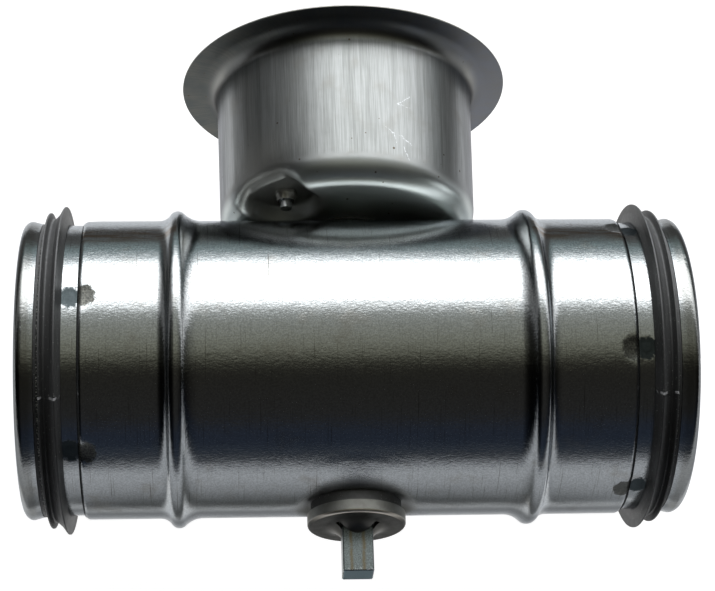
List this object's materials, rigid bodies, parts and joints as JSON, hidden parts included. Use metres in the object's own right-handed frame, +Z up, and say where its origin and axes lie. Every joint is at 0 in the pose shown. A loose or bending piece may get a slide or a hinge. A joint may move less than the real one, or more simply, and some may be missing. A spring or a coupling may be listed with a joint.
{
  "type": "volume control damper",
  "caption": "Round duct damper: beaded galvanised tube with rubber-lipped spigots, a blade on a square spindle and a deep flanged handle cup with a locking lever.",
  "frame": {"origin": "where the duct axis and the spindle axis cross, in the middle of the duct", "axes": "+X along the duct, +Y along the spindle towards the mouth of the handle cup, +Z up: the damper lies on its side, on the cup flange and the seal lips"},
  "size_m": [0.1728, 0.143, 0.0908],
  "materials": {
    "galvanised_shell": "bright hot-dip galvanised sheet with fine grain",
    "galvanised_collar": "galvanised sheet, a little duller at the spot welds",
    "galvanised_blade": "galvanised sheet",
    "seal_rubber": "matt black rubber",
    "cup_steel": "drawn sheet with streaks up the wall",
    "bearing_plastic": "matt",
    "journal_plastic": "matt",
    "clamp_steel": "satin",
    "cap_steel": "dull grey phosphated spring steel",
    "shaft_steel": "galvanised drawn bar",
    "rivet_steel": "satin",
    "lever_steel": "zinc plated",
    "zinc_fastener": "zinc plated",
    "nut_steel": "dull zinc plated"
  },
  "bodies": {
    "casing": {"duct_shell": "galvanised_shell", "spigot_collar_left": "galvanised_collar", "spigot_collar_right": "galvanised_collar", "lip_seal_left": "seal_rubber", "lip_seal_right": "seal_rubber", "handle_cup": "cup_steel", "upper_bearing_sleeve": "bearing_plastic", "upper_seal_washer": "seal_rubber", "upper_clamp_ring": "clamp_steel", "lower_bearing_sleeve": "bearing_plastic", "lower_seal_ring": "seal_rubber", "rivet_nut": "nut_steel"},
    "vane": {"square_shaft": "shaft_steel", "upper_journal_bush": "journal_plastic", "lower_journal_bush": "journal_plastic", "retaining_cap": "cap_steel", "blade": "galvanised_blade", "blade_clamp_upper": "galvanised_blade", "blade_clamp_lower": "galvanised_blade", "blade_rivets": "rivet_steel", "lever": "lever_steel", "hub_washer": "zinc_fastener", "hub_screw": "zinc_fastener"},
    "lock": {"locking_screw": "zinc_fastener", "locking_washer": "zinc_fastener"}
  },
  "joints": [
    {"name": "blade_turn", "type": "hinge", "parent": "casing", "child": "vane", "pos_m": [0, 0, 0], "axis": [0, -1, 0], "range_deg": [0, 90]},
    {"name": "lock_turn", "type": "hinge", "parent": "casing", "child": "lock", "pos_m": [-0.01732, 0.05, 0.01732], "axis": [0, 1, 0], "range_deg": [0, 360]}
  ]
}
